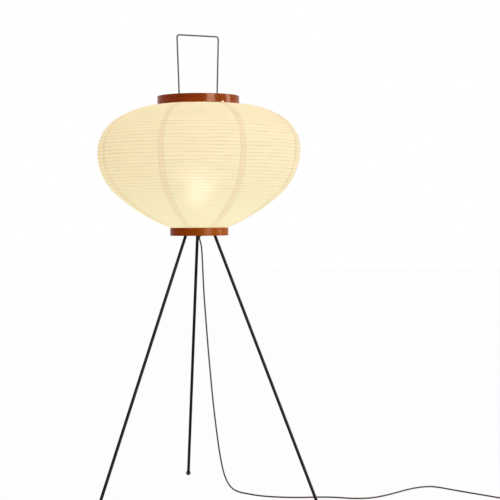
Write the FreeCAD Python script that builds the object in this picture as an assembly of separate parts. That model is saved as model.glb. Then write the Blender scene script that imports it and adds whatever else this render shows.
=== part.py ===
import FreeCAD, Part
import math
import os

# Paper lantern floor lamp: a paper shade, stretched by a wire frame between two bentwood rings,
# stands on a hub with three straight legs. Millimetres, +Z up. The origin is on the lamp's axis
# at the floor, and the rear leg stands along +Y.

# ---------------------------------------------------------------- driving dimensions
# Shade: half section through five named places, and the paper itself
BELLY_R = 266.5  # widest radius
BELLY_RISE = 200.3  # above the bottom ring
SHOULDER_R = 218.1
SHOULDER_RISE = 87.0  # above the belly
HIP_R = 219.4
HIP_DROP = 109.7  # below the belly
CROWN_RISE = 35.0  # from the shoulder to the top ring
PAPER_T = 0.8
PAPER_SEAT_GAP = 0.05  # between the paper's edges and the rings they are glued to
PANEL_COUNT = 8
PANEL_TURN = 18.5  # azimuth of the first seam
RIB_PITCH = 9.1
RIB_SIDE = 1.2
RIB_GAP = 0.1

# Bentwood rings
TOP_RING_R = 107.7
TOP_RING_H = 22.0
BOTTOM_RING_R = 76.6
BOTTOM_RING_Z = 693.5
BOTTOM_RING_H = 20.6
RING_WALL = 5.0
RING_EDGE_R = 0.8
PAPER_INSET = 1.1  # from a ring's outer face to the paper's edge

# Wire frame that stretches the shade and forms the handle
HANDLE_RISE = 160.6  # above the top ring
WIRE_R = 2.0
FRAME_TURN = 16.5  # azimuth of the frame's plane
UPRIGHT_INSET = 17.6  # from the bottom ring's inner face to each upright's middle
HANDLE_SPREAD = 4.8  # how much further out the handle's corners are
SPLAY_START = 4.0  # height above the top ring where the uprights start to splay
CORNER_R = 7.0
SPLAY_R = 120.0
FOOT_HOOK_R = 5.0
FOOT_HOOK_RUN = 10.0
FOOT_HOOK_DROP = 0.6  # below the bar
COLLAR_WALL = 2.0
COLLAR_H = 5.0
COLLAR_GAP = 0.25

# Wires across the top ring, each with an eye round an upright
RING_WIRE_R = 1.25
RING_WIRE_SEAT = 3.0  # how deep its ends sit in the ring's wall
EYE_CLEARANCE = 0.2
EYE_WELD = 0.6  # the wire lies this much outside the eye's round, welded to its side
FIT = 0.05  # radial clearance of pressed and screwed fits

# Flat bar across the bottom ring, with its ends turned down against the ring
BAR_W = 12.0
BAR_T = 1.5
BAR_END_DROP = 19.0
BAR_SIDE_GAP = 0.1
BAR_SCREW_R = 1.25
BAR_SCREW_HEAD_R = 2.8
BAR_SCREW_HEAD_T = 1.5
BAR_SCREW_DROP = 7.1  # below the bottom ring's upper edge
BAR_SCREW_DEPTH = 3.5

# Hub plate, leg sleeves and legs
HUB_PLATE_RISE = 2.4  # from the bottom ring's upper edge to the plate's underside
HUB_PLATE_T = 3.0
HUB_TO_UPRIGHT = 6.0  # between the plate's rim and the uprights
HUB_RIM = 11.0  # from the legs' tops to the plate's rim
LEG_R = 4.0
LEG_AZIMUTHS = {"left": 210.0, "right": 330.0, "rear": 90.0}
FOOT_SPREAD_R = 327.0  # from the axis to where each foot stands
SLEEVE_WALL = 2.0
SLEEVE_LENGTH = 21.5
LEG_END_GAP = 0.3
FOOT_BALL_R = 6.75
FOOT_WEAR = 0.6  # how much the ball is worn flat at the floor

# Threaded nipple and its fasteners
NIPPLE_R = 5.0
NIPPLE_BORE_R = 3.5
NIPPLE_ABOVE_BAR = 9.0
NIPPLE_BELOW_NUT = 2.0
NUT_FLATS = 15.0
NUT_H = 4.0
WASHER_R = 9.0
WASHER_T = 1.0

# Lamp holder, stacked on the bar
HOLDER_R = 19.5
HOLDER_WALL = 2.0
CAP_FOOT_R = 12.0
CAP_H = 18.0
CAP_FLOOR = 3.0
CAP_WALL = 3.6
CORE_H = 10.0
CORE_GAP = 0.1
SHELL_H = 38.0
SCREW_CLEARANCE = 0.35  # between the bulb's cap and the screw shell
SCREW_SHELL_T = 0.4
SCREW_SHELL_H = 22.0
TONGUE_R = 4.0
TONGUE_T = 1.0

# Bulb
BULB_LENGTH = 107.0
BULB_R = 30.0
BULB_CAP_R = 13.0
BULB_CAP_T = 0.6
BULB_CAP_H = 20.0
BULB_BUTTON_R = 4.5
BULB_BUTTON_H = 1.5
BULB_CONE_H = 3.5
BULB_CONE_RIM = 2.0
BULB_GLASS_T = 0.8
BULB_BALL_ANGLE = 125.0  # from the bulb's top to where the ball runs into the neck
CONTACT_GAP = 0.05

# Cord, as it hangs and lies
CORD_R = 2.1
CORD_LIFT = 0.1  # between the floor and the lying cord
GLAND_R = 7.5
GLAND_H = 20.0
GLAND_TIP_WALL = 1.5
GLAND_RIM_H = 5.0
COIL_CENTRE = (868.0, -158.0)
COIL_R = 25.0
COIL_TURNS = 4.25
COIL_BASE_CORDS = 3.0
COIL_TOP_CORDS = 2.0
COIL_H = 8.0
COIL_STUB = 23.0  # straight cord at the coil's start and end

# Inline switch
SWITCH_L = 60.0
SWITCH_W = 28.0
SWITCH_HALF_H = 8.0
SWITCH_WALL = 2.5
SWITCH_EDGE_R = 2.0
SWITCH_AT = (893.0, -66.0)
ROCKER_R = 7.9
ROCKER_W = 9.4
ROCKER_GAP = 0.3
ROCKER_PIVOT_DROP = 3.5  # below the switch's top
ROCKER_BELOW_PIVOT = 3.0
ROCKER_ABOVE_PIVOT = 4.5
ROCKER_TILT = 8.0
PIN_R = 1.2
PIN_REACH = 2.0
LUG_HALF_L = 3.0
LUG_SKIN = 0.6  # outside the pin's end
LUG_DROP = 3.0

# Plug with two flat blades
PLUG_L = 32.0
PLUG_W = 26.0
PLUG_H = 16.0
PLUG_EDGE_R = 3.0
PLUG_AT = (886.0, 66.0)
BLADE_T = 1.5
BLADE_W = 6.35
BLADE_OUT = 17.0
BLADE_IN = 6.0
BLADE_SPACING = 12.7

ARC_SHARE = 0.45  # how much of the shorter run an arc of the cord may take at each end

# ---------------------------------------------------------------- sizes worked out from them
Z_AXIS = FreeCAD.Vector(0, 0, 1)
TOP_RING_INNER_R = TOP_RING_R - RING_WALL
BOTTOM_RING_INNER_R = BOTTOM_RING_R - RING_WALL
BOTTOM_RING_TOP = BOTTOM_RING_Z + BOTTOM_RING_H
BELLY_Z = BOTTOM_RING_TOP + BELLY_RISE
SHOULDER_Z = BELLY_Z + SHOULDER_RISE
HIP_Z = BELLY_Z - HIP_DROP
TOP_RING_Z = SHOULDER_Z + CROWN_RISE
HANDLE_TOP_Z = TOP_RING_Z + TOP_RING_H + HANDLE_RISE
HUB_PLATE_Z = BOTTOM_RING_TOP + HUB_PLATE_RISE
UPRIGHT_R = BOTTOM_RING_INNER_R - UPRIGHT_INSET
BAR_SCREW_Z = BOTTOM_RING_TOP - BAR_SCREW_DROP
BAR_Z = HUB_PLATE_Z + HUB_PLATE_T
BAR_TOP = BAR_Z + BAR_T
HUB_PLATE_R = UPRIGHT_R - WIRE_R - HUB_TO_UPRIGHT
LEG_TOP_R = HUB_PLATE_R - HUB_RIM
LEG_LEAN = math.atan2(FOOT_SPREAD_R - LEG_TOP_R, HUB_PLATE_Z)
FOOT_CENTRE_Z = FOOT_BALL_R - FOOT_WEAR
NUT_Z = HUB_PLATE_Z - WASHER_T - NUT_H
NIPPLE_Z = NUT_Z - NIPPLE_BELOW_NUT
CORD_EXIT_Z = NIPPLE_Z - GLAND_H
CORD_FLOOR_Z = CORD_R + CORD_LIFT
SHELL_Z = BAR_TOP + CAP_H
SCREW_SHELL_R = BULB_CAP_R + SCREW_CLEARANCE
TONGUE_Z = SHELL_Z + CORE_H
BULB_Z = TONGUE_Z + TONGUE_T + CONTACT_GAP
BULB_CONE_Z = BULB_Z + BULB_BUTTON_H
BULB_CAP_Z = BULB_CONE_Z + BULB_CONE_H
BULB_NECK_Z = BULB_CAP_Z + BULB_CAP_H
RING_WIRE_Z = TOP_RING_Z + TOP_RING_H / 2
EYE_R = WIRE_R + EYE_CLEARANCE + RING_WIRE_R
RING_WIRE_OFFSET = UPRIGHT_R + EYE_R + EYE_WELD
UPPER_COLLAR_Z = RING_WIRE_Z + RING_WIRE_R + COLLAR_GAP
ROCKER_PIVOT_Z = 2 * SWITCH_HALF_H - ROCKER_PIVOT_DROP
LUG_W = PIN_REACH + LUG_SKIN

# ---------------------------------------------------------------- cord routes
# Where the cord runs, point by point: down from the hub, across the floor and to the coil
CORD_ROUTE = [
    (0.0, 0.0, CORD_EXIT_Z),
    (3.6, -0.2, 650.0),
    (8.0, 1.5, 596.0),
    (11.4, 3.5, 540.0),
    (15.7, 6.3, 482.0),
    (20.1, 9.2, 424.0),
    (25.2, 12.2, 362.0),
    (30.6, 15.6, 302.0),
    (36.4, 19.3, 243.0),
    (43.2, 23.2, 186.0),
    (50.0, 26.6, 134.0),
    (57.2, 30.0, 90.0),
    (64.8, 33.8, 56.0),
    (76.5, 38.0, 27.0),
    (93.0, 40.5, 9.0),
    (112.0, 37.0, CORD_FLOOR_Z),
    (127.0, 20.5, CORD_FLOOR_Z),
    (142.0, -0.5, CORD_FLOOR_Z),
    (166.5, -21.5, CORD_FLOOR_Z),
    (205.0, -41.0, CORD_FLOOR_Z),
    (256.0, -54.5, CORD_FLOOR_Z),
    (312.0, -57.5, CORD_FLOOR_Z),
    (350.0, -69.0, CORD_FLOOR_Z),
    (380.0, -87.0, CORD_FLOOR_Z),
    (411.0, -95.5, CORD_FLOOR_Z),
    (445.0, -91.5, CORD_FLOOR_Z),
    (482.0, -68.5, CORD_FLOOR_Z),
    (522.0, -36.0, CORD_FLOOR_Z),
    (564.0, 0.5, CORD_FLOOR_Z),
    (603.0, 23.0, CORD_FLOOR_Z),
    (634.0, 26.5, CORD_FLOOR_Z),
    (655.0, 6.5, CORD_FLOOR_Z),
    (676.0, -26.0, CORD_FLOOR_Z),
    (706.0, -68.5, CORD_FLOOR_Z),
    (740.0, -113.5, CORD_FLOOR_Z),
    (764.0, -148.0, CORD_FLOOR_Z),
    (785.0, -171.0, CORD_FLOOR_Z),
    (814.0, -183.0, CORD_FLOOR_Z),
    (COIL_CENTRE[0] - COIL_STUB, COIL_CENTRE[1] - COIL_R, CORD_FLOOR_Z),
]
SWITCH_LEAD_ROUTE = [
    (COIL_CENTRE[0] + COIL_R, COIL_CENTRE[1] + COIL_STUB, CORD_FLOOR_Z),
    (COIL_CENTRE[0] + COIL_R, -126.0, CORD_FLOOR_Z),
    (SWITCH_AT[0], -107.0, SWITCH_HALF_H),
    (SWITCH_AT[0], SWITCH_AT[1] - SWITCH_L / 2, SWITCH_HALF_H),
]
PLUG_LEAD_ROUTE = [
    (SWITCH_AT[0], SWITCH_AT[1] + SWITCH_L / 2, SWITCH_HALF_H),
    (SWITCH_AT[0], -25.0, SWITCH_HALF_H),
    (894.2, -7.0, 3.6),
    (893.2, 11.0, 2.4),
    (889.4, 26.0, 4.4),
    (PLUG_AT[0], 39.0, PLUG_H / 2),
    (PLUG_AT[0], PLUG_AT[1] - PLUG_L / 2, PLUG_H / 2),
]


# ---------------------------------------------------------------- shared shapes
def turned(shape, azimuth):
    """The shape turned about the lamp's axis, from the XZ plane to an azimuth in degrees."""
    copy = shape.copy()
    copy.rotate(FreeCAD.Vector(0, 0, 0), Z_AXIS, azimuth)
    return copy


def cylinder(radius, z, height, x=0.0):
    return Part.makeCylinder(radius, height, FreeCAD.Vector(x, 0, z))


def ring(outer_r, inner_r, z, height, x=0.0):
    return cylinder(outer_r, z, height, x).cut(cylinder(inner_r, z, height, x))


def block(length, width, height, centre_x, centre_y, z):
    corner = FreeCAD.Vector(centre_x - length / 2, centre_y - width / 2, z)
    return Part.makeBox(length, width, height, corner)


def section_point(point):
    """A (radius, height) place of a half section, in the XZ plane."""
    return FreeCAD.Vector(point[0], 0, point[1])


def revolved(points, angle=360.0):
    """A solid of revolution from a closed outline of (radius, height) points."""
    corners = [section_point(p) for p in points]
    outline = Part.makePolygon(corners + corners[:1])
    return Part.Face(outline).revolve(FreeCAD.Vector(0, 0, 0), Z_AXIS, angle)


class SectionArc:
    """A round stretch of a half section, from start to end, tangent to heading at its start."""

    def __init__(self, start, heading, end):
        left = (-heading[1], heading[0])
        chord = (end[0] - start[0], end[1] - start[1])
        across = chord[0] * left[0] + chord[1] * left[1]
        bend = 2 * across / (chord[0] ** 2 + chord[1] ** 2)
        self.bends_left = bend > 0
        self.radius = 1 / abs(bend)
        self.centre = (start[0] + left[0] / bend, start[1] + left[1] / bend)
        self.first = math.atan2(start[1] - self.centre[1], start[0] - self.centre[0])
        last = math.atan2(end[1] - self.centre[1], end[0] - self.centre[0])
        self.sweep = (last - self.first + math.pi) % (2 * math.pi) - math.pi
        side = 1 if self.bends_left else -1
        self.end_heading = (-math.sin(last) * side, math.cos(last) * side)

    def backwards(self):
        """The same stretch run from its end to its start."""
        start = self.point(1.0)
        heading = (-self.end_heading[0], -self.end_heading[1])
        return SectionArc(start, heading, self.point(0.0))

    def point(self, share, inset=0.0):
        """The place at a share of the way along, moved inwards, to the right of the run."""
        radius = self.radius + (inset if self.bends_left else -inset)
        angle = self.first + self.sweep * share
        return (
            self.centre[0] + radius * math.cos(angle),
            self.centre[1] + radius * math.sin(angle),
        )

    def length(self, inset=0.0):
        radius = self.radius + (inset if self.bends_left else -inset)
        return radius * abs(self.sweep)

    def edge(self, inset=0.0):
        places = [section_point(self.point(share, inset)) for share in (0.0, 0.5, 1.0)]
        return Part.Arc(*places).toShape()


def sheet_of(arcs, thickness, angle=360.0):
    """A sheet of even thickness, revolved from a chain of arcs that is its outer face."""
    outer = [arc.edge() for arc in arcs]
    inner = [arc.edge(thickness) for arc in arcs]
    edges = outer + inner
    for arc, share in ((arcs[0], 0.0), (arcs[-1], 1.0)):
        ends = [section_point(arc.point(share, inset)) for inset in (0.0, thickness)]
        edges.append(Part.makeLine(*ends))
    outline = Part.Wire(Part.__sortEdges__(edges))
    return Part.Face(outline).revolve(FreeCAD.Vector(0, 0, 0), Z_AXIS, angle)


def round_path(points, radii):
    """Straight runs through the points, joined by tangent arcs of the given radii."""
    places = [FreeCAD.Vector(*p) for p in points]
    edges = []
    run_start = places[0]
    for before, here, after, radius in zip(places, places[1:], places[2:], radii):
        back = (before - here).normalize()
        ahead = (after - here).normalize()
        half_turn = (math.pi - back.getAngle(ahead)) / 2
        cut = radius * math.tan(half_turn)
        middle = (back + ahead).normalize()
        inside = radius / math.cos(half_turn) - radius
        arc_start = here + back * cut
        arc_end = here + ahead * cut
        edges.append(Part.LineSegment(run_start, arc_start).toShape())
        edges.append(Part.Arc(arc_start, here + middle * inside, arc_end).toShape())
        run_start = arc_end
    edges.append(Part.LineSegment(run_start, places[-1]).toShape())
    return Part.Wire(edges)


def rod_along(path, radius):
    """A round rod along a path of runs and arcs."""
    first = path.Edges[0]
    start = first.valueAt(first.FirstParameter)
    heading = first.tangentAt(first.FirstParameter)
    outline = Part.Wire(Part.makeCircle(radius, start, heading))
    return path.makePipeShell([outline], True, False)


# ---------------------------------------------------------------- shade and rings
def shade_arcs():
    """The paper's outer half section from the top ring down to the bottom ring."""
    belly = (BELLY_R, BELLY_Z)
    shoulder = (SHOULDER_R, SHOULDER_Z)
    hip = (HIP_R, HIP_Z)
    top = (TOP_RING_INNER_R + FIT, TOP_RING_Z - PAPER_SEAT_GAP)
    bottom = (BOTTOM_RING_R - PAPER_INSET, BOTTOM_RING_TOP + PAPER_SEAT_GAP)
    upper = SectionArc(belly, (0, 1), shoulder)
    crown = SectionArc(shoulder, upper.end_heading, top)
    lower = SectionArc(belly, (0, -1), hip)
    skirt = SectionArc(hip, lower.end_heading, bottom)
    return [crown.backwards(), upper.backwards(), lower, skirt]


def paper_panels():
    angle = 360.0 / PANEL_COUNT
    panel = sheet_of(shade_arcs(), PAPER_T, angle)
    return [turned(panel, PANEL_TURN + angle * k) for k in range(PANEL_COUNT)]


def rib_places():
    """Evenly spaced places of the ribs' centres, each an arc with a share of the way along."""
    inset = PAPER_T + RIB_GAP + RIB_SIDE / 2
    arcs = shade_arcs()
    total = sum(arc.length(inset) for arc in arcs)
    count = int(total / RIB_PITCH)
    margin = (total - (count - 1) * RIB_PITCH) / 2
    places = []
    run = 0.0
    for arc in arcs:
        length = arc.length(inset)
        while len(places) < count and margin + len(places) * RIB_PITCH <= run + length:
            share = (margin + len(places) * RIB_PITCH - run) / length
            places.append((arc, share))
        run += length
    return places


def bamboo_ribs():
    """Thin square hoops just inside the paper, one above the other."""
    hoops = []
    for arc, share in rib_places():
        half = RIB_SIDE / 2 / arc.length()
        inner = PAPER_T + RIB_GAP + RIB_SIDE
        corners = [(share - half, inner - RIB_SIDE), (share + half, inner - RIB_SIDE)]
        corners += [(share + half, inner), (share - half, inner)]
        hoops.append(revolved([arc.point(s, inset) for s, inset in corners]))
    return Part.makeCompound(hoops)


def bentwood_ring(outer_r, z, height):
    hoop = ring(outer_r, outer_r - RING_WALL, z, height)
    return hoop.makeFillet(RING_EDGE_R, [e for e in hoop.Edges if e.Curve.TypeId.endswith("Circle")])


def ring_wire_half_length(clearance=0.0):
    end_r = TOP_RING_INNER_R + RING_WIRE_SEAT + clearance
    return math.sqrt(end_r**2 - RING_WIRE_OFFSET**2)


def ring_wire_rod(radius, half_length):
    """A straight rod across the top ring, just outside an upright."""
    start = FreeCAD.Vector(RING_WIRE_OFFSET, -half_length, RING_WIRE_Z)
    return Part.makeCylinder(radius, 2 * half_length, start, FreeCAD.Vector(0, 1, 0))


def top_ring():
    """The upper bentwood ring, drilled for the ends of its two wires."""
    hoop = bentwood_ring(TOP_RING_R, TOP_RING_Z, TOP_RING_H)
    drill = ring_wire_rod(RING_WIRE_R + FIT, ring_wire_half_length(FIT))
    for azimuth in (FRAME_TURN, FRAME_TURN + 180):
        hoop = hoop.cut(turned(drill, azimuth))
    return hoop


def top_ring_wire(azimuth):
    """A wire across the top ring, with a round eye for the upright beside it."""
    rod = ring_wire_rod(RING_WIRE_R, ring_wire_half_length())
    centre = FreeCAD.Vector(UPRIGHT_R, 0, RING_WIRE_Z)
    eye = Part.makeTorus(EYE_R, RING_WIRE_R, centre, Z_AXIS)
    return turned(rod.fuse(eye), azimuth)


def bar_screw_hole(radius):
    start = FreeCAD.Vector(0, 0, BAR_SCREW_Z)
    reach = BOTTOM_RING_INNER_R + BAR_SCREW_DEPTH + FIT
    return Part.makeCylinder(radius, reach, start, FreeCAD.Vector(1, 0, 0))


def bottom_ring():
    """The lower bentwood ring, with two blind holes for the bar's screws."""
    hoop = bentwood_ring(BOTTOM_RING_R, BOTTOM_RING_Z, BOTTOM_RING_H)
    for azimuth in (FRAME_TURN, FRAME_TURN + 180):
        hoop = hoop.cut(turned(bar_screw_hole(BAR_SCREW_R + FIT), azimuth))
    return hoop


# ---------------------------------------------------------------- wire frame and bar
def frame_points():
    """Half of the wire frame's centre line, from a foot hook up to the handle's corner."""
    hook_z = BAR_Z - FOOT_HOOK_DROP - FOOT_HOOK_R
    splay_z = TOP_RING_Z + TOP_RING_H + SPLAY_START
    return [
        (UPRIGHT_R + FOOT_HOOK_RUN, 0, hook_z),
        (UPRIGHT_R, 0, hook_z),
        (UPRIGHT_R, 0, splay_z),
        (UPRIGHT_R + HANDLE_SPREAD, 0, HANDLE_TOP_Z - WIRE_R),
    ]


def wire_frame():
    """One bent wire: hooked feet, two uprights and the squared handle between them."""
    right = frame_points()
    left = [(-x, y, z) for x, y, z in reversed(right)]
    radii = [FOOT_HOOK_R, SPLAY_R, CORNER_R]
    path = round_path(right + left, radii + radii[::-1])
    return turned(rod_along(path, WIRE_R), FRAME_TURN)


def wire_collars(z):
    """A crimped collar on each upright."""
    collars = []
    for side in (0, 180):
        collar = ring(WIRE_R + FIT + COLLAR_WALL, WIRE_R + FIT, z, COLLAR_H, UPRIGHT_R)
        collars.append(turned(collar, FRAME_TURN + side))
    return Part.makeCompound(collars)


def shade_bar():
    """Flat bar on the hub plate, with turned-down ends screwed to the bottom ring."""
    reach = BOTTOM_RING_INNER_R - BAR_SIDE_GAP
    bar = block(2 * reach, BAR_W, BAR_T, 0, 0, BAR_Z)
    for side in (1, -1):
        end_x = side * (reach - BAR_T / 2)
        bar = bar.fuse(block(BAR_T, BAR_W, BAR_END_DROP, end_x, 0, BAR_Z - BAR_END_DROP))
        bar = bar.cut(cylinder(WIRE_R + FIT, BAR_Z, BAR_T, side * UPRIGHT_R))
    round_ends = cylinder(reach, BAR_Z - BAR_END_DROP, BAR_END_DROP + BAR_T)
    bar = bar.common(round_ends).cut(cylinder(NIPPLE_R + FIT, BAR_Z, BAR_T))
    hole = bar_screw_hole(BAR_SCREW_R + FIT)
    bar = bar.cut(hole).cut(turned(hole, 180))
    return turned(bar.removeSplitter(), FRAME_TURN)


def bar_screws():
    """Two round-headed screws from the bar's turned-down ends into the bottom ring."""
    head_face = BOTTOM_RING_INNER_R - BAR_SIDE_GAP - BAR_T
    outwards = FreeCAD.Vector(1, 0, 0)
    shank_end = BOTTOM_RING_INNER_R + BAR_SCREW_DEPTH
    shank_start = FreeCAD.Vector(head_face, 0, BAR_SCREW_Z)
    shank = Part.makeCylinder(BAR_SCREW_R, shank_end - head_face, shank_start, outwards)
    head_start = FreeCAD.Vector(head_face - BAR_SCREW_HEAD_T, 0, BAR_SCREW_Z)
    head = Part.makeCylinder(BAR_SCREW_HEAD_R, BAR_SCREW_HEAD_T, head_start, outwards)
    screw = shank.fuse(head)
    return Part.makeCompound([turned(screw, FRAME_TURN), turned(screw, FRAME_TURN + 180)])


# ---------------------------------------------------------------- hub and legs
def leg_place(z):
    """The point of a leg's centre line at a height, with the leg in the XZ plane."""
    return FreeCAD.Vector(FOOT_SPREAD_R - z * math.tan(LEG_LEAN), 0, z)


def up_the_leg():
    return FreeCAD.Vector(-math.sin(LEG_LEAN), 0, math.cos(LEG_LEAN))


def leg_sleeve(azimuth):
    """A tube welded under the hub plate, in line with its leg."""
    low_z = HUB_PLATE_Z - SLEEVE_LENGTH * math.cos(LEG_LEAN)
    start = leg_place(low_z)
    length = 2 * SLEEVE_LENGTH
    bore_r = LEG_R + FIT
    tube = Part.makeCylinder(bore_r + SLEEVE_WALL, length, start, up_the_leg())
    tube = tube.cut(Part.makeCylinder(bore_r, length, start, up_the_leg()))
    under_plate = cylinder(2 * HUB_PLATE_R, 0, HUB_PLATE_Z)
    return turned(tube.common(under_plate), azimuth)


def leg_rod(azimuth):
    """A straight round rod from the foot's middle to just under the hub plate."""
    top_z = HUB_PLATE_Z - LEG_R * math.sin(LEG_LEAN) - LEG_END_GAP
    length = (top_z - FOOT_CENTRE_Z) / math.cos(LEG_LEAN)
    rod = Part.makeCylinder(LEG_R, length, leg_place(FOOT_CENTRE_Z), up_the_leg())
    return turned(rod, azimuth)


def rubber_foot(azimuth):
    """A rubber ball pushed on the rod's end, worn flat where it stands."""
    centre = leg_place(FOOT_CENTRE_Z)
    ball = Part.makeSphere(FOOT_BALL_R, centre)
    above_floor = cylinder(2 * FOOT_BALL_R, 0, 2 * FOOT_BALL_R, centre.x)
    socket = Part.makeCylinder(LEG_R + FIT, 2 * FOOT_BALL_R, centre, up_the_leg())
    return turned(ball.common(above_floor).cut(socket), azimuth)


def hub_plate():
    return ring(HUB_PLATE_R, NIPPLE_R + FIT, HUB_PLATE_Z, HUB_PLATE_T)


def threaded_nipple():
    height = BAR_TOP + NIPPLE_ABOVE_BAR - NIPPLE_Z
    return ring(NIPPLE_R, NIPPLE_BORE_R, NIPPLE_Z, height)


def lock_nut():
    corner_r = NUT_FLATS / math.sqrt(3)
    angles = [math.radians(60 * k) for k in range(7)]
    places = [FreeCAD.Vector(corner_r * math.cos(a), corner_r * math.sin(a), NUT_Z) for a in angles]
    prism = Part.Face(Part.makePolygon(places)).extrude(Z_AXIS * NUT_H)
    return prism.cut(cylinder(NIPPLE_R + FIT, NUT_Z, NUT_H))


def lock_washer():
    return ring(WASHER_R, NIPPLE_R + FIT, NUT_Z + NUT_H, WASHER_T)


# ---------------------------------------------------------------- lamp holder and bulb
def holder_cap():
    """A cup that screws onto the nipple and presses the bar onto the hub plate."""
    inner_r = HOLDER_R - CAP_WALL
    outline = [
        (NIPPLE_R + FIT, BAR_TOP),
        (CAP_FOOT_R, BAR_TOP),
        (HOLDER_R, BAR_TOP + CAP_H / 2),
        (HOLDER_R, SHELL_Z),
        (inner_r, SHELL_Z),
        (inner_r, BAR_TOP + CAP_H / 2),
        (CAP_FOOT_R - CAP_FLOOR, BAR_TOP + CAP_FLOOR),
        (NIPPLE_R + FIT, BAR_TOP + CAP_FLOOR),
    ]
    return revolved(outline)


def holder_shell():
    return ring(HOLDER_R, HOLDER_R - HOLDER_WALL, SHELL_Z, SHELL_H)


def holder_core():
    return cylinder(HOLDER_R - HOLDER_WALL - CORE_GAP, SHELL_Z, CORE_H)


def holder_screw_shell():
    return ring(SCREW_SHELL_R + SCREW_SHELL_T, SCREW_SHELL_R, TONGUE_Z, SCREW_SHELL_H)


def holder_tongue():
    return cylinder(TONGUE_R, TONGUE_Z, TONGUE_T)


def bulb_button():
    return cylinder(BULB_BUTTON_R, BULB_Z, BULB_BUTTON_H)


def bulb_insulator():
    """The dark cone between the bulb's button and its screw cap."""
    rim_r = BULB_CAP_R - BULB_CAP_T - FIT
    outline = [
        (0, BULB_CONE_Z),
        (BULB_BUTTON_R, BULB_CONE_Z),
        (rim_r, BULB_CAP_Z),
        (rim_r, BULB_CAP_Z + BULB_CONE_RIM),
        (0, BULB_CAP_Z + BULB_CONE_RIM),
    ]
    return revolved(outline)


def bulb_cap():
    return ring(BULB_CAP_R, BULB_CAP_R - BULB_CAP_T, BULB_CAP_Z, BULB_CAP_H)


def bulb_glass():
    """A hollow pear-shaped bulb: a ball that runs into a neck."""
    top = BULB_Z + BULB_LENGTH
    angle = math.radians(BULB_BALL_ANGLE)
    ball_end = (BULB_R * math.sin(angle), top - BULB_R + BULB_R * math.cos(angle))
    ball = SectionArc((0, top), (1, 0), ball_end)
    neck_end = (BULB_CAP_R, BULB_NECK_Z + CONTACT_GAP)
    neck = SectionArc(ball_end, ball.end_heading, neck_end)
    return sheet_of([ball, neck], BULB_GLASS_T)


# ---------------------------------------------------------------- cord, switch and plug
def cord_gland():
    """A soft bushing under the nipple, from which the cord hangs."""
    outline = [
        (0, NIPPLE_Z),
        (GLAND_R, NIPPLE_Z),
        (GLAND_R, NIPPLE_Z - GLAND_RIM_H),
        (CORD_R + GLAND_TIP_WALL, CORD_EXIT_Z),
        (0, CORD_EXIT_Z),
    ]
    return revolved(outline)


def arc_radii(route):
    """The largest radius that each corner of a route has room for."""
    radii = []
    for before, here, after in zip(route, route[1:], route[2:]):
        back = FreeCAD.Vector(*before) - FreeCAD.Vector(*here)
        ahead = FreeCAD.Vector(*after) - FreeCAD.Vector(*here)
        half_turn = (math.pi - back.getAngle(ahead)) / 2
        radii.append(ARC_SHARE * min(back.Length, ahead.Length) / math.tan(half_turn))
    return radii


def cord_along(route, name):
    """A cord's tube along a route, with its bends and its volume printed."""
    radii = arc_radii(route)
    path = round_path(route, radii)
    tube = rod_along(path, CORD_R)
    share = tube.Volume / (math.pi * CORD_R**2 * path.Length)
    print(f"{name}: length {path.Length:.1f}, volume share {share:.4f}")
    print("  radii", " ".join(f"{r:.0f}" for r in radii))
    return tube


def cord_coil():
    """The outer shape of the coiled cord, with the straight cord at its two ends."""
    floor = CORD_FLOOR_Z - CORD_R
    base = COIL_BASE_CORDS * CORD_R
    top = COIL_TOP_CORDS * CORD_R
    outline = [
        (COIL_R - base, floor),
        (COIL_R + base, floor),
        (COIL_R + base, floor + COIL_H / 2),
        (COIL_R + top, floor + COIL_H),
        (COIL_R - top, floor + COIL_H),
        (COIL_R - base, floor + COIL_H / 2),
    ]
    coil = revolved(outline)
    ends = (
        (FreeCAD.Vector(0, -COIL_R, CORD_FLOOR_Z), FreeCAD.Vector(-1, 0, 0)),
        (FreeCAD.Vector(COIL_R, 0, CORD_FLOOR_Z), FreeCAD.Vector(0, 1, 0)),
    )
    for start, heading in ends:
        coil = coil.fuse(Part.makeCylinder(CORD_R, COIL_STUB, start, heading))
    coil.translate(FreeCAD.Vector(*COIL_CENTRE, 0))
    return coil


def laid(shape, place):
    """A piece made along +X, laid along +Y at a place on the floor."""
    copy = turned(shape, 90)
    copy.translate(FreeCAD.Vector(*place, 0))
    return copy


def upright_edges(shape):
    """The vertical edges of a block."""
    return [e for e in shape.Edges if abs(e.tangentAt(e.FirstParameter).z) > 0.99]


def rounded_block(length, width, height, z, edge_r):
    body = block(length, width, height, 0, 0, z)
    return body.makeFillet(edge_r, upright_edges(body))


def switch_cavity(z, height):
    return block(SWITCH_L - 2 * SWITCH_WALL, SWITCH_W - 2 * SWITCH_WALL, height, 0, 0, z)


def switch_base():
    body = rounded_block(SWITCH_L, SWITCH_W, SWITCH_HALF_H, 0, SWITCH_EDGE_R)
    return laid(body.cut(switch_cavity(SWITCH_WALL, SWITCH_HALF_H)), SWITCH_AT)


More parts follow.
